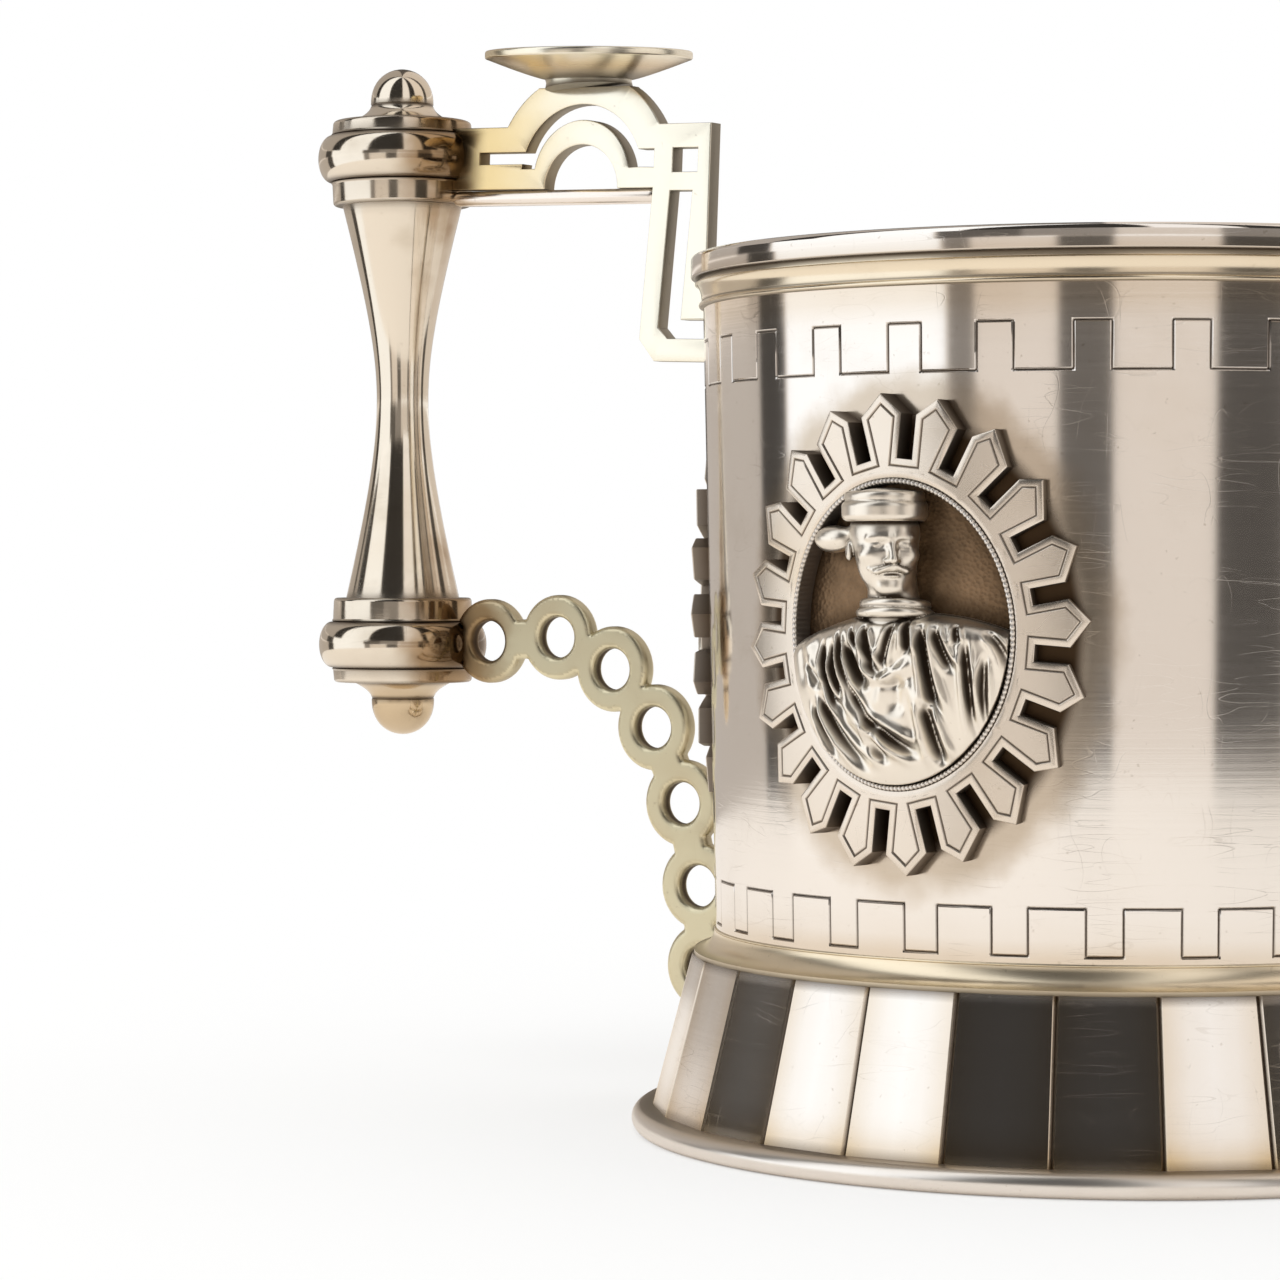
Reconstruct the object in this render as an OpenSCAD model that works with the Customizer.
// Tea glass holder: a tapering cup on a panelled foot, four oval sunburst medallions and a
// handle built from a pierced upper bracket, a turned grip and a curved row of rings below.
// The origin is on the cup's axis, on the face that the glass stands on. +X runs to the handle.

/* [Cup] */
// Outer radius of the cup where it leaves the foot
cup_r_low = 34.95; // [33:0.05:42]
// How far the cup widens from the foot to the rim
cup_taper = 1.2; // [0.2:0.05:3]
// Height from the glass's seat to the underside of the rim
cup_h = 59.0; // [54:0.5:75]
// Thickness of the cup's sheet metal
cup_wall = 1.0; // [0.8:0.1:1.4]
// Thickness of the floor plate
floor_t = 1.2; // [0.8:0.1:1.5]

/* [Rim] */
// Height of the flat band round the rim
rim_h = 2.1; // [1.6:0.1:3]
// How far the rim's flat band stands out from the cup
rim_out = 1.05; // [0.8:0.05:1.6]
// How far the rim's lip stands in from the cup's inner wall
rim_lip = 0.15; // [0.05:0.05:0.4]
// Radius of the rounded edges of the rim's top
rim_round = 0.5; // [0.2:0.1:0.7]
// Height of the hollow moulding under the rim
rim_cove_h = 2.6; // [2:0.1:3.4]
// Height of the bead at the foot of that moulding
rim_bead_h = 0.5; // [0.3:0.1:0.8]

/* [Foot] */
// Height of the whole foot, from the table to the glass's seat
foot_h = 17.5; // [16:0.5:22]
// Height of the moulding between the cup and the panelled skirt
neck_h = 2.4; // [2:0.1:3]
// How much of that moulding stands above the glass's seat
neck_above = 0.7; // [0.3:0.1:1]
// How far the skirt's top stands out from the cup
skirt_step = 2.15; // [1.6:0.05:3.2]
// How far the skirt flares out on its way down
skirt_flare = 3.55; // [2:0.05:6]
// Thickness of the skirt
skirt_t = 1.1; // [0.8:0.1:1.4]
// Number of flat panels round the skirt
skirt_panels = 28; // [20:1:36]
// Turn of the panels from the handle's plane, in degrees
skirt_turn = -4.2; // [-6:0.1:6]
// Width of the groove between two panels
skirt_groove_w = 0.7; // [0.4:0.1:1]
// Depth of the groove between two panels
skirt_groove_d = 0.3; // [0.1:0.05:0.4]
// Height of the ring that the foot stands on
base_h = 2.2; // [1.6:0.1:3]
// How far the ring stands out from the skirt's lower edge
base_out = 1.9; // [1.2:0.1:3]
// Width of the ring's flat underside
base_flat = 2.2; // [1.4:0.1:2.8]

/* [Grip] */
// Distance from the cup's wall, under the rim, to the grip's axis
grip_reach = 43.15; // [41:0.05:50]
// Height of the baluster's lower end above the glass's seat
grip_z = 29.95; // [28:0.05:32]
// Length of the baluster between its two collars
grip_h = 39.45; // [36:0.05:46]
// Radius of the baluster at its waist
waist_r = 2.6; // [2.4:0.05:3.4]
// Height of the waist above the baluster's lower end
waist_h = 20.05; // [17:0.05:22]
// How fast the baluster swells above its waist
swell_up_slope = 0.279; // [0.22:0.001:0.3]
// How fast the baluster swells below its waist
swell_down_slope = 0.253; // [0.2:0.001:0.29]
// Radius of the thick bead in each collar
bead_r = 8.45; // [8.2:0.05:9.2]
// Height of the thick bead
bead_h = 4.6; // [4.2:0.1:5.4]
// Radius of the thin ring on each side of a bead
ring_r = 7.15; // [6.9:0.05:7.4]
// Height of the thin ring next to the baluster
inner_ring_h = 2.4; // [2:0.1:3]
// Height of the thin ring next to a finial
outer_ring_h = 1.5; // [1.2:0.1:2.2]
// Radius of a finial where it meets its ring
finial_r = 5.0; // [4.4:0.1:6]
// Radius of a finial's rounded tip
finial_tip_r = 2.1; // [2:0.05:2.6]
// Height of a finial
finial_h = 5.3; // [4.6:0.1:7]
// Radius of the rod that holds the grip together
rod_r = 1.4; // [1.1:0.05:1.6]
// Clearance round that rod
rod_clear = 0.05; // [0.03:0.01:0.1]

/* [Upper bracket] */
// Thickness of both bracket plates
plate_t = 1.8; // [1.4:0.1:2.4]
// Slope of the upper bracket, down towards the cup
bracket_tilt = 2.3; // [0:0.1:3]
// Height of the upper bracket's lower edge above the baluster's top
bracket_rise = 1.5; // [1.3:0.1:1.8]
// Height of each of its two level bars
bar_h = 2.5; // [2.1:0.1:2.8]
// Height of the slot between them
slot_h = 1.15; // [0.9:0.05:1.4]
// Gap between the bracket's block and the rim
block_gap = 4.6; // [3.6:0.1:6]
// Distance from the block's inner end to the middle of the arch
arch_in = 15.0; // [14.6:0.1:16]
// Outer radius of the arch
arch_r = 10.4; // [10:0.1:10.8]
// Height of the arch's flat top above the lower edge
arch_top = 9.9; // [9.5:0.1:10.1]
// Outer radius of the slot in the arch
arch_slot_r = 7.2; // [6.9:0.1:7.5]
// Width of the slot in the arch
arch_slot_w = 1.5; // [1.2:0.1:1.7]
// Radius of the opening under the arch
arch_eye_r = 4.3; // [3.8:0.1:4.5]
// Distance from the bead to the level slot's end
slot_from_bead = 1.8; // [1.2:0.1:3]
// Height of the short level slot beside the block
step_slot_h = 1.75; // [1.4:0.05:2]
// How far that slot drops below the level slot
step_slot_drop = 0.5; // [0.2:0.1:0.8]
// Distance from the block's inner end to that slot
step_slot_end = 6.5; // [5.6:0.1:6.8]
// Width of the square hole in the block
block_hole_w = 2.8; // [2:0.1:3.2]
// Height of the square hole in the block
block_hole_h = 2.3; // [1.8:0.1:2.6]
// Metal between the square hole and the block's inner end
block_hole_wall = 1.45; // [1:0.05:1.8]
// How far the square hole drops below the level slot
block_hole_drop = 1.0; // [0.6:0.1:1.2]
// Width of the leg, over both its bars
leg_w = 6.55; // [6.2:0.05:7]
// Width of the leg's outer bar
leg_bar_w = 2.1; // [1.8:0.1:2.4]
// Width of the slot in the leg
leg_slot_w = 2.5; // [2.1:0.1:2.7]
// Metal over the slot in the leg
leg_slot_top = 0.3; // [0.1:0.1:1]
// How far the leg shifts outwards on its way down
leg_shift = 1.0; // [0.4:0.1:1.4]
// Height of the leg below the level bars
leg_h = 16.7; // [15.6:0.1:17.4]
// Height of the lower foot bar
foot_bar_h = 2.2; // [1.8:0.1:2.6]
// Gap between the two feet of the leg
foot_gap = 1.8; // [1.2:0.1:2.2]
// Height of the upper foot, under the rim
foot_tab_h = 3.6; // [3.2:0.1:4]
// Size of the cut-off corner at the leg's lower end
leg_corner = 2.1; // [1.2:0.1:2.4]
// Radius of the tie bar under the bracket
tie_r = 0.8; // [0.6:0.05:0.9]
// Depth of the flat on the tie bar
tie_flat = 0.12; // [0.05:0.01:0.2]

/* [Thumb rest] */
// Radius of the thumb rest's dish
dish_r = 10.15; // [9:0.05:11.5]
// Height of the dish, from its neck to its lip
dish_h = 2.9; // [2.4:0.1:3.6]
// Depth of the hollow in the dish
dish_depth = 1.4; // [0.8:0.1:1.6]
// Height of the dish's outer edge
dish_edge = 0.8; // [0.5:0.1:1.1]
// Radius of the neck under the dish
dish_neck_r = 4.3; // [3.6:0.1:5]
// Height of the neck under the dish
dish_neck_h = 1.0; // [0.7:0.1:1.6]

/* [Lower bracket] */
// Outer radius of a ring in the lower bracket
link_r = 4.17; // [3.9:0.01:4.4]
// Radius of the hole in a ring
link_hole_r = 2.0; // [1.6:0.05:2.3]
// Number of rings
link_count = 7; // [7:1:8]
// Width of the web that joins two rings
link_web = 3.9; // [3:0.1:4.2]
// Distance from the grip's axis to the first ring
link_first = 11.1; // [10.4:0.1:12]
// Height of the last ring above the table
link_last_z = 12.2; // [11.4:0.1:14]
// Reach of the row's upper bend towards the cup
bend_reach = 18.7; // [16:0.1:21]
// Rise of the row's upper bend
bend_rise = 5.0; // [3:0.1:6]
// Height of the row's straight run beside the cup
bend_drop = 14.6; // [12:0.1:17]

/* [Medallions] */
// Height of a medallion's centre above the glass's seat
medal_z = 27.6; // [27:0.1:36]
// Half width of a medallion, to the tips of its rays
medal_a = 16.95; // [16:0.05:17.6]
// Half height of a medallion, to the tips of its rays
medal_b = 19.95; // [18.6:0.05:20.4]
// Half width of the oval inside the rays
field_a = 10.3; // [9.6:0.1:11]
// Half height of the oval inside the rays
field_b = 12.45; // [11.6:0.05:13.2]
// Number of rays
ray_count = 20; // [18:1:24]
// Turn of the ring of rays, in degrees
ray_turn = 3.5; // [0:0.5:8]
// Width of the slits between the rays
ray_slit_w = 1.35; // [0.9:0.05:1.7]
// Height of the gable at a ray's tip
ray_gable = 1.7; // [1:0.1:2.2]
// Width of the flat band between the oval and the slits
medal_band = 2.1; // [1.6:0.1:2.6]
// Thickness of the ray plate
medal_t = 2.0; // [1.6:0.1:2.4]
// Width of the milled ring round the oval
bezel_w = 0.55; // [0.4:0.05:0.8]
// How far the milled ring stands over the ray plate
bezel_over = 0.25; // [0.1:0.05:0.4]
// Thickness of the plate behind the bust
field_t = 0.45; // [0.3:0.05:0.8]
// How far the bust's shoulders stand out from that plate
bust_t = 1.9; // [1.4:0.1:2.4]
// Height of the shoulders above the oval's lower end
shoulder_h = 14.2; // [12.4:0.1:14.8]
// Height of the head, with its round cap
head_h = 9.8; // [8.2:0.1:10.2]
// Radius of the head at the cap's band
head_r = 3.1; // [2.8:0.05:3.6]

/* [Hidden] */
$fn = 96;

// A small overlap for cuts, so that no cut ends exactly on the face it passes through
eps = 0.01;
// Steps along a curved outline
arc_steps = 10;
// Points round an oval
oval_points = 72;
// Bevel on a turned edge
bevel = 0.2;
// The medallions' directions from the cup's axis
front_az = 90;
back_az = 270;
far_az = 180;
handle_az = 0;

silver = [0.80, 0.74, 0.68];
gilt = [0.82, 0.68, 0.40];
old_gilt = [0.62, 0.53, 0.30];
dark_silver = [0.42, 0.36, 0.30];

table_z = -foot_h;
neck_top = neck_above;
neck_low = neck_top - neck_h;
skirt_low = table_z + base_h;
rim_z = cup_h;
cove_z = rim_z - rim_cove_h;
cup_r_top = cup_r_low + cup_taper;
rim_r = cup_r_top + rim_out;
bore_r = cup_r_top - cup_wall - rim_lip;
// The cup's straight lower end, which the moulding and the floor plate fit
spigot_step = 0.3;
spigot_r = cup_r_low - spigot_step;
spigot_bore = spigot_r - cup_wall;
cup_slope = (cup_r_top - cup_r_low) / (rim_z - neck_top);
function cup_r(z) = cup_r_low + cup_slope * (z - neck_top);
// Height of the slope inside the cup where its wall steps in to the floor
seat_slope_h = 0.4;

skirt_r_top = cup_r_low + skirt_step;
skirt_r_low = skirt_r_top + skirt_flare;
// The moulding over the skirt: its margins over the cup and inside the skirt, ledge and bead
neck_out = 0.5;
neck_in = 0.2;
neck_ledge = 0.4;
neck_bead_r = 0.3;

grip_x = cup_r_top + grip_reach;
grip_top = grip_z + grip_h;
bar_z = grip_top + bracket_rise;
bars_h = 2 * bar_h + slot_h;
block_u = grip_x - rim_r - block_gap;
leg_u = block_u - leg_w;
arch_u = block_u - arch_in;
arch_v = 1.0;
top_bead_z = grip_top + inner_ring_h;
top_outer_z = top_bead_z + bead_h;
top_finial_z = top_outer_z + outer_ring_h;
bottom_bead_z = grip_z - inner_ring_h;
bottom_outer_z = bottom_bead_z - bead_h;
bottom_finial_z = bottom_outer_z - outer_ring_h;
// The plates' tongues, let into the beads
tongue_in = rod_r + 1.0;
tongue_out = 0.1;
tongue_wall = 0.65;
tongue_h = bead_h - 2 * tongue_wall;

// Half sizes of the oval round the milled ring, and of the one at the slits' roots
bezel_a = field_a + bezel_w;
bezel_b = field_b + bezel_w;
root_a = field_a + medal_band;
root_b = field_b + medal_band;

// Cup, rim and foot

module floor_plate() {
    color(silver)
    translate([0, 0, -floor_t])
    cylinder(h = floor_t, r = spigot_bore);
}

// Solid of the cup's outer cone, grown by a margin, for cutting what is fitted against it
module cup_cone(margin = 0) {
    translate([0, 0, neck_top])
    cylinder(h = rim_z - neck_top, r1 = cup_r_low + margin, r2 = cup_r_top + margin);
}

module cup_shell() {
    bore_low = cup_r_low - cup_wall;
    bore_top = cup_r_top - cup_wall;
    color(silver)
    rotate_extrude()
    polygon([
        [spigot_bore, neck_low], [spigot_r, neck_low], [spigot_r, neck_top], [cup_r_low, neck_top],
        [cup_r_top, rim_z], [bore_top, rim_z], [bore_low, neck_top + seat_slope_h], [spigot_bore, neck_top]
    ]);
}

// Half section of the rim's band, from radius r_in
module rim_section(r_in) {
    top = rim_z + rim_h;
    out = rim_r - rim_round;
    inn = bore_r + rim_round * 0.6;
    polygon(concat(
        [[r_in, rim_z], [rim_r - bevel, rim_z], [rim_r, rim_z + bevel]],
        [for (i = [0 : arc_steps / 2])
            let (a = i * 180 / arc_steps)
            [out + rim_round * cos(a), top - rim_round + rim_round * sin(a)]],
        r_in > 0
            ? [[inn, top], [bore_r + 0.1, top - 0.1], [bore_r, top - rim_round * 0.6]]
            : [[0, top]]
    ));
}

module rim_band() {
    color(silver)
    rotate_extrude()
    rim_section(bore_r);
}

// Outer outline of the moulding under the rim, from the bead at its foot to the groove on top
function cove_line() =
    let (bead = rim_bead_h / 2, r0 = cup_r(cove_z), lip = rim_r - 0.35, top = rim_z - 0.5)
    concat(
        [for (i = [0 : arc_steps])
            let (a = -90 + i * 180 / arc_steps)
            [r0 + 0.15 + bead * cos(a), cove_z + bead + bead * sin(a)]],
        [for (i = [0 : arc_steps])
            let (a = i * 90 / arc_steps, h = top - cove_z - rim_bead_h - 0.2)
            [lip - (lip - r0 - 0.15) * cos(a), cove_z + rim_bead_h + 0.1 + h * sin(a)]],
        [[lip, top], [rim_r - 0.75, top], [rim_r - 0.75, rim_z]]
    );

module rim_moulding() {
    color(gilt)
    rotate_extrude()
    polygon(concat([[cup_r(rim_z), rim_z], [cup_r(cove_z), cove_z]], cove_line()));
}

// The whole rim as one solid body of revolution, for cutting the bracket's foot
module rim_solid() {
    rotate_extrude()
    union() {
        rim_section(0);
        polygon(concat([[0, rim_z], [0, cove_z]], cove_line()));
    }
}

module foot_moulding() {
    r_top = cup_r_low + neck_out;
    r_low = skirt_r_top - neck_in;
    hollow_top = neck_top - 2 * neck_bead_r;
    hollow_h = hollow_top - neck_low - neck_ledge;
    bead_at = r_top - neck_bead_r;
    color(gilt)
    rotate_extrude()
    polygon(concat(
        [[spigot_r, neck_low], [r_low, neck_low], [r_low, neck_low + neck_ledge]],
        [for (i = [0 : arc_steps])
            let (a = i * 90 / arc_steps)
            [r_low - (r_low - bead_at - 0.1) * sin(a), hollow_top - hollow_h * cos(a)]],
        [for (i = [0 : arc_steps])
            let (a = -90 + i * 180 / arc_steps)
            [bead_at + neck_bead_r * cos(a), neck_top - neck_bead_r + neck_bead_r * sin(a)]],
        [[spigot_r, neck_top]]
    ));
}

// Outline of the skirt at its lower edge: flat panels with a V groove between each two
function skirt_outline() =
    let (r = skirt_r_low, half = asin(skirt_groove_w / 2 / skirt_r_low))
    [
        for (i = [0 : skirt_panels - 1])
            let (a = skirt_turn + i * 360 / skirt_panels)
                for (p = [[-half, r], [0, r - skirt_groove_d], [half, r]])
                    [p[1] * cos(a + p[0]), p[1] * sin(a + p[0])]
    ];

// The skirt as a solid block, which every face narrows towards the top
module skirt_solid() {
    translate([0, 0, skirt_low])
    linear_extrude(neck_low - skirt_low, scale = skirt_r_top / skirt_r_low)
    polygon(skirt_outline());
}

module foot_skirt() {
    r_low = skirt_r_low - skirt_t;
    r_top = skirt_r_top - skirt_t;
    slope = (r_low - r_top) / (neck_low - skirt_low);
    color(silver)
    difference() {
        skirt_solid();
        translate([0, 0, skirt_low - 1])
        linear_extrude(neck_low - skirt_low + 2, scale = (r_top - slope) / (r_low + slope))
        circle(r = r_low + slope, $fn = 4 * skirt_panels);
    }
}

module foot_ring() {
    r_in = skirt_r_low - skirt_t - 0.3;
    r_out = skirt_r_low + base_out;
    bulge = base_h * 0.55;
    r_flat = r_in + base_flat;
    color(silver)
    rotate_extrude()
    polygon(concat(
        [[r_in, table_z + 0.3], [r_in + 0.3, table_z], [r_flat, table_z]],
        [for (i = [0 : arc_steps])
            let (a = -60 + i * 130 / arc_steps)
            [r_out - bulge + bulge * cos(a), table_z + base_h * 0.48 + base_h * 0.52 * sin(a)]],
        [[skirt_r_low + 0.1, table_z + base_h], [r_in, table_z + base_h]]
    ));
}

// Grip: turned pieces, stacked on a rod

// Radius of the baluster at height h above its lower end
function baluster_r(h) =
    let (k = h > waist_h ? swell_up_slope : swell_down_slope)
    sqrt(pow(waist_r, 2) + pow(k * (h - waist_h), 2));

module on_grip(z) {
    translate([grip_x, 0, z])
    children();
}

module grip_rod() {
    low = bottom_finial_z - finial_h * 0.6;
    color(silver)
    on_grip(low)
    cylinder(h = top_finial_z + finial_h * 0.6 - low, r = rod_r);
}

module grip_baluster() {
    steps = 24;
    color(gilt)
    on_grip(grip_z)
    rotate_extrude()
    polygon(concat(
        [[rod_r + rod_clear, grip_h], [rod_r + rod_clear, 0]],
        [for (i = [0 : steps]) [baluster_r(i * grip_h / steps), i * grip_h / steps]]
    ));
}

// Thin ring of a collar. Its wide end is at the bottom, against the bead.
module collar_ring(h, r_in) {
    small = ring_r - 0.5;
    polygon([
        [r_in, 0], [ring_r, 0], [ring_r - 0.15, 0.35], [ring_r - 0.25, h - 0.5], [small, h], [r_in, h]
    ]);
}

// Thick bead of a collar, with a half round edge
module collar_bead(r_in) {
    bulge = bead_r - ring_r;
    polygon(concat(
        [[r_in, bead_h], [r_in, 0]],
        [for (i = [0 : arc_steps])
            let (a = -90 + i * 180 / arc_steps)
            [ring_r + bulge * cos(a), bead_h / 2 + bead_h / 2 * sin(a)]]
    ));
}

// Bell-shaped finial that ends in a rounded tip
module finial_section() {
    tip_z = finial_h - finial_tip_r * 0.6;
    socket_h = finial_h * 0.6;
    polygon(concat(
        [[0, socket_h + eps], [rod_r, socket_h + eps], [rod_r, 0]],
        [for (i = [0 : arc_steps])
            let (t = i / arc_steps)
            [finial_tip_r + (finial_r - finial_tip_r) * pow(1 - t, 1.8), tip_z * t]],
        [for (i = [1 : arc_steps])
            let (a = i * 90 / arc_steps)
            [finial_tip_r * cos(a), tip_z + finial_tip_r * 0.6 * sin(a)]]
    ));
}

module top_inner_ring() {
    color(gilt)
    on_grip(top_bead_z)
    mirror([0, 0, 1])
    rotate_extrude()
    collar_ring(inner_ring_h, rod_r + rod_clear);
}

module top_bead() {
    color(gilt)
    difference() {
        on_grip(top_bead_z)
        rotate_extrude()
        collar_bead(rod_r + rod_clear);
        bracket_tongue();
    }
}

module top_outer_ring() {
    color(gilt)
    on_grip(top_outer_z)
    rotate_extrude()
    collar_ring(outer_ring_h, rod_r + rod_clear);
}

module top_finial() {
    color(gilt)
    on_grip(top_finial_z)
    rotate_extrude()
    finial_section();
}

module bottom_inner_ring() {
    color(gilt)
    on_grip(bottom_bead_z)
    rotate_extrude()
    collar_ring(inner_ring_h, rod_r + rod_clear);
}

module bottom_bead() {
    color(gilt)
    difference() {
        on_grip(bottom_outer_z)
        rotate_extrude()
        collar_bead(rod_r + rod_clear);
        link_tongue();
    }
}

module bottom_outer_ring() {
    color(gilt)
    on_grip(bottom_outer_z)
    mirror([0, 0, 1])
    rotate_extrude()
    collar_ring(outer_ring_h, rod_r + rod_clear);
}

module bottom_finial() {
    color(gilt)
    on_grip(bottom_finial_z)
    mirror([0, 0, 1])
    rotate_extrude()
    finial_section();
}

// A collar's outer form without its bore, for cutting what meets it
module top_collar_solid() {
    on_grip(top_bead_z)
    rotate_extrude()
    collar_bead(0);
    on_grip(top_bead_z)
    mirror([0, 0, 1])
    rotate_extrude()
    collar_ring(inner_ring_h, 0);
    on_grip(top_outer_z)
    rotate_extrude()
    collar_ring(outer_ring_h, 0);
}

module bottom_collar_solid() {
    on_grip(bottom_outer_z)
    rotate_extrude()
    collar_bead(0);
    on_grip(bottom_bead_z)
    rotate_extrude()
    collar_ring(inner_ring_h, 0);
}

// Upper bracket. Its outline is drawn flat: u runs from the grip's axis towards the cup and
// v runs up from the lower edge of the level bars.

module in_bracket_plane() {
    translate([grip_x, 0, bar_z])
    rotate([0, -bracket_tilt, 0])
    children();
}

module bracket_extrude(t) {
    rotate([90, 0, 0])
    linear_extrude(t, center = true)
    mirror([1, 0])
    children();
}

module bracket_tongue() {
    low = top_bead_z + bead_h / 2 - tongue_h / 2 - bar_z;
    in_bracket_plane()
    bracket_extrude(plate_t)
    translate([tongue_in, low])
    square([bead_r - tongue_in + tongue_out, tongue_h]);
}

// Places on the leg
leg_out_u = leg_u - leg_shift;
leg_slot_u = leg_u + leg_bar_w;
foot_bar_v = -leg_h + foot_bar_h;
foot_tab_v = foot_bar_v + foot_gap;
// Far enough towards the cup for the wall to cut every foot to length
past_wall_u = grip_x - cup_r_low + cup_wall;

module bracket_outline() {
    union() {
        translate([tongue_in + 2, 0])
        square([block_u - tongue_in - 2, bars_h]);
        intersection() {
            translate([arch_u, arch_v])
            circle(r = arch_r);
            translate([arch_u - arch_r, 0])
            square([2 * arch_r, arch_top]);
        }
        polygon([
            [leg_u, eps], [block_u, eps], [block_u, foot_tab_v + foot_tab_h],
            [past_wall_u, foot_tab_v + foot_tab_h], [past_wall_u, -leg_h],
            [leg_out_u + leg_corner * 0.85, -leg_h], [leg_out_u, -leg_h + leg_corner]
        ]);
    }
}

module bracket_slots() {
    step_v = bar_h - step_slot_drop;
    arch_slot_in = arch_slot_r - arch_slot_w;
    // Slot that follows the arch
    intersection() {
        difference() {
            translate([arch_u, arch_v])
            circle(r = arch_slot_r);
            translate([arch_u, arch_v])
            circle(r = arch_slot_in);
        }
        translate([arch_u - arch_r, step_v + eps])
        square([2 * arch_r, arch_top]);
    }
    // Its level ends, on the grip's side and on the block's side
    slot_u = bead_r + slot_from_bead;
    translate([slot_u, bar_h])
    square([arch_u - arch_slot_in - 0.3 - slot_u, slot_h]);
    translate([arch_u + arch_slot_in, step_v])
    square([block_u - step_slot_end - arch_u - arch_slot_in, step_slot_h]);
    // Opening under the arch
    translate([arch_u, 0])
    circle(r = arch_eye_r);
    // Square hole in the block
    translate([block_u - block_hole_wall - block_hole_w, bar_h - block_hole_drop])
    square([block_hole_w, block_hole_h]);
    // Slot in the leg, which opens towards the cup between the two feet
    shift = leg_shift * (1 - foot_bar_h / leg_h);
    corner = leg_corner * 0.5;
    polygon([
        [leg_slot_u, -leg_slot_top], [leg_slot_u + leg_slot_w, -leg_slot_top],
        [leg_slot_u + leg_slot_w - shift, foot_tab_v], [past_wall_u + 1, foot_tab_v],
        [past_wall_u + 1, foot_bar_v], [leg_slot_u - shift + corner, foot_bar_v],
        [leg_slot_u - shift, foot_bar_v + corner]
    ]);
}

module upper_bracket() {
    color(gilt) {
        difference() {
            in_bracket_plane()
            bracket_extrude(plate_t)
            difference() {
                bracket_outline();
                bracket_slots();
            }
            top_collar_solid();
            cup_cone();
            rim_solid();
        }
        bracket_tongue();
    }
}

module bracket_tie_bar() {
    color(gilt)
    difference() {
        in_bracket_plane()
        translate([-tongue_in - 2, 0, tie_flat - tie_r])
        rotate([0, -90, 0])
        cylinder(h = leg_u - tongue_in - 2.1, r = tie_r);
        // Flat that lies against the bracket's lower edge
        in_bracket_plane()
        translate([-leg_u, -tie_r, 0])
        cube([leg_u, 2 * tie_r, tie_r]);
        on_grip(top_bead_z)
        mirror([0, 0, 1])
        rotate_extrude()
        collar_ring(inner_ring_h + 2, 0);
    }
}

module on_arch(v) {
    in_bracket_plane()
    translate([-arch_u, 0, v])
    children();
}

module thumb_rest_neck() {
    color(gilt)
    on_arch(arch_top)
    cylinder(h = dish_neck_h, r = dish_neck_r);
}

module thumb_rest_dish() {
    edge_low = dish_h - dish_edge;
    lip = dish_r - 0.5;
    hollow = dish_h - dish_depth;
    color(gilt)
    on_arch(arch_top + dish_neck_h)
    rotate_extrude()
    polygon(concat(
        [[0, hollow], [0, 0], [dish_neck_r, 0]],
        [for (i = [1 : arc_steps])
            let (t = i / arc_steps)
            [dish_neck_r + (dish_r - 0.25 - dish_neck_r) * t, edge_low * pow(t, 1.15)]],
        [[dish_r, edge_low + 0.25], [dish_r, dish_h - 0.25], [dish_r - 0.25, dish_h], [lip, dish_h]],
        [for (i = [1 : arc_steps])
            let (t = 1 - i / arc_steps)
            if (i < arc_steps)
                [lip * t, hollow + dish_depth * pow(t, 2) * 0.9]]
    ));
}

// Lower bracket: rings set along a curve from the grip's collar down to the foot's skirt

// How far the first ring sits over the collar's middle, and the last one off the skirt
link_over = 0.45;
link_off = 0.45;
link_first_pos = [grip_x - link_first, bottom_outer_z + bead_h / 2 + link_over];
link_last_z0 = table_z + link_last_z;
function skirt_r(z) =
    skirt_r_low + (skirt_r_top - skirt_r_low) * (z - skirt_low) / (neck_low - skirt_low);
link_last_pos = [skirt_r(link_last_z0) + link_r + link_off, link_last_z0];
link_bend_a = link_first_pos + [-bend_reach, bend_rise];
link_bend_b = link_last_pos + [0.1, bend_drop];

function bezier(a, b, c, d, t) =
    pow(1 - t, 3) * a + 3 * pow(1 - t, 2) * t * b + 3 * (1 - t) * pow(t, 2) * c + pow(t, 3) * d;
function link_pos(i) =
    bezier(link_first_pos, link_bend_a, link_bend_b, link_last_pos, i / (link_count - 1));

// Straight web of width w between two points
module web(a, b, w) {
    d = b - a;
    translate(a)
    rotate(atan2(d[1], d[0]))
    translate([0, -w / 2])
    square([norm(d), w]);
}

module in_handle_plane(t) {
    rotate([90, 0, 0])
    linear_extrude(t, center = true)
    children();
}

module link_tongue() {
    low = bottom_outer_z + (bead_h - tongue_h) / 2;
    in_handle_plane(plate_t)
    translate([grip_x - bead_r - tongue_out, low])
    square([bead_r - tongue_in + tongue_out, tongue_h]);
}

module link_outline() {
    for (i = [0 : link_count - 1])
        translate(link_pos(i))
        circle(r = link_r, $fn = 64);
    for (i = [0 : link_count - 2])
        web(link_pos(i), link_pos(i + 1), link_web);
    // Arm to the collar, and lug to the skirt
    web(link_first_pos, link_first_pos + [link_first - ring_r, -link_over], link_web);
    web(link_last_pos, link_last_pos - [link_r + 1.6, 2.0], link_web);
}

module lower_bracket() {
    color(old_gilt) {
        difference() {
            in_handle_plane(plate_t)
            difference() {
                link_outline();
                for (i = [0 : link_count - 1])
                    translate(link_pos(i))
                    circle(r = link_hole_r, $fn = 48);
            }
            bottom_collar_solid();
            skirt_solid();
        }
        link_tongue();
    }
}

// Medallions. Each is drawn flat, x to the right and y up as it is seen, then set on the cup.

// Half chord of an arc of length s on the cup
medal_r = cup_r(medal_z) + medal_t;
function chord(s) = medal_r * sin(s / medal_r * 180 / PI);

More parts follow.
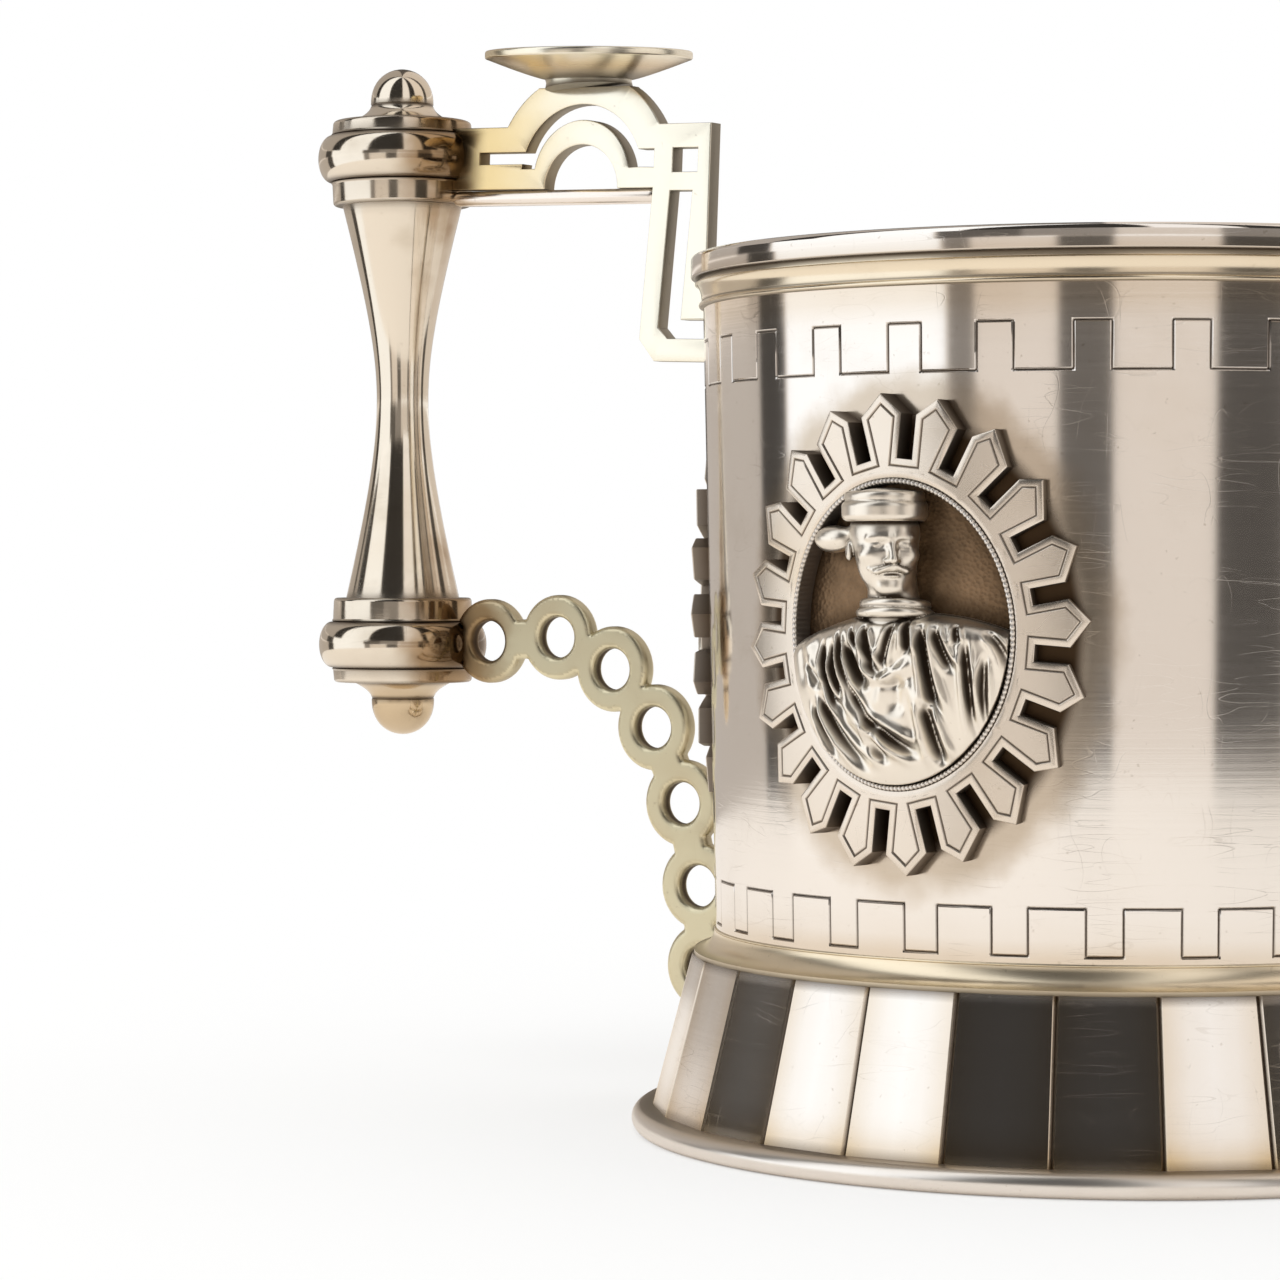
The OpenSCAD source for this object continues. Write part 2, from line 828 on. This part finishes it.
// Point on an oval of half sizes a and b, and the oval's outward direction there
function oval(a, b, t) = [a * cos(t), b * sin(t)];
function oval_out(a, b, t) = let (n = [cos(t) / a, sin(t) / b]) n / norm(n);

function oval_line(a, b) = [
    for (i = [0 : oval_points - 1]) let (p = oval(a, b, i * 360 / oval_points)) [chord(p[0]), p[1]]
];

// Length of the slit at angle t
function slit_h(t) = norm(oval(medal_a, medal_b, t) - oval(root_a, root_b, t)) - ray_gable;

// One ray from slit to slit: root, eave, tip, eave, root
function ray(i) =
    let (
        step = 360 / ray_count,
        t = 90 + ray_turn + i * step,
        t0 = t - step / 2, t1 = t + step / 2,
        n0 = oval_out(root_a, root_b, t0), n1 = oval_out(root_a, root_b, t1),
        p0 = oval(root_a, root_b, t0) + [-n0[1], n0[0]] * ray_slit_w / 2,
        p1 = oval(root_a, root_b, t1) + [n1[1], -n1[0]] * ray_slit_w / 2
    )
    [p0, p0 + n0 * slit_h(t0), oval(medal_a, medal_b, t), p1 + n1 * slit_h(t1), p1];

function sunburst_line() = [
    for (i = [0 : ray_count - 1]) for (p = ray(i)) [chord(p[0]), p[1]]
];

// Cuts a flat outline out of a layer that follows the cup, from height low to height high
module on_cup(az, low, high) {
    rotate([0, 0, az])
    intersection() {
        difference() {
            cup_cone(high);
            cup_cone(low);
        }
        translate([0, 0, medal_z])
        rotate([90, 0, 90])
        linear_extrude(2 * cup_r_top)
        children();
    }
}

module medallion_rays(az) {
    color(silver)
    on_cup(az, 0, medal_t)
    difference() {
        polygon(sunburst_line());
        polygon(oval_line(bezel_a, bezel_b));
    }
}

module medallion_bezel(az) {
    color(silver)
    on_cup(az, 0, medal_t + bezel_over)
    difference() {
        polygon(oval_line(bezel_a, bezel_b));
        polygon(oval_line(field_a, field_b));
    }
}

module medallion_field(az) {
    color(dark_silver)
    on_cup(az, 0, field_t)
    polygon(oval_line(field_a, field_b));
}

// Shoulders that fill the lower part of the oval and slope up to the neck
module bust_outline() {
    top = -field_b + shoulder_h;
    intersection() {
        polygon(oval_line(field_a - 0.1, field_b - 0.1));
        polygon([
            [-field_a, -field_b], [field_a, -field_b], [field_a, top - 3.2], [field_a - 1.6, top - 1.4],
            [head_r + 0.6, top], [-head_r - 0.6, top], [-field_a + 1.6, top - 1.4], [-field_a, top - 3.2]
        ]);
    }
}

// Neck, face and round cap as one turned form, upright on the shoulders
module head_section() {
    neck_r = head_r * 0.6;
    chin = head_h * 0.12;
    band = head_h * 0.62;
    cap_r = head_r + 0.3;
    cap_top = head_h - 1.2;
    polygon(concat(
        [[0, -chin], [neck_r, -chin], [neck_r, chin * 0.7]],
        [for (i = [0 : arc_steps])
            let (a = i * 90 / arc_steps)
            [neck_r + (head_r - neck_r) * sin(a), chin + (band - chin) * (1 - cos(a)) * 0.9]],
        [[head_r, band], [cap_r - 0.2, band + 0.1], [cap_r, cap_top]],
        [for (i = [1 : arc_steps])
            let (a = i * 90 / arc_steps)
            [cap_r * cos(a), cap_top + (head_h - cap_top) * sin(a)]]
    ));
}

module medallion_bust(az) {
    neck_z = medal_z - field_b + shoulder_h;
    color(silver) {
        on_cup(az, field_t, field_t + bust_t)
        bust_outline();
        rotate([0, 0, az])
        difference() {
            translate([cup_r(neck_z) + field_t + 0.4, 0, neck_z])
            rotate_extrude($fn = 48)
            head_section();
            cup_cone(field_t);
        }
    }
}

floor_plate();
cup_shell();
rim_band();
rim_moulding();
foot_moulding();
foot_skirt();
foot_ring();
upper_bracket();
bracket_tie_bar();
thumb_rest_neck();
thumb_rest_dish();
lower_bracket();
grip_rod();
grip_baluster();
top_inner_ring();
top_bead();
top_outer_ring();
top_finial();
bottom_inner_ring();
bottom_bead();
bottom_outer_ring();
bottom_finial();
medallion_rays(front_az);  // front_medallion_rays
medallion_bezel(front_az);  // front_medallion_bezel
medallion_field(front_az);  // front_medallion_field
medallion_bust(front_az);  // front_medallion_bust
medallion_rays(back_az);  // back_medallion_rays
medallion_bezel(back_az);  // back_medallion_bezel
medallion_field(back_az);  // back_medallion_field
medallion_bust(back_az);  // back_medallion_bust
medallion_rays(far_az);  // far_medallion_rays
medallion_bezel(far_az);  // far_medallion_bezel
medallion_field(far_az);  // far_medallion_field
medallion_bust(far_az);  // far_medallion_bust
medallion_rays(handle_az);  // handle_medallion_rays
medallion_bezel(handle_az);  // handle_medallion_bezel
medallion_field(handle_az);  // handle_medallion_field
medallion_bust(handle_az);  // handle_medallion_bust
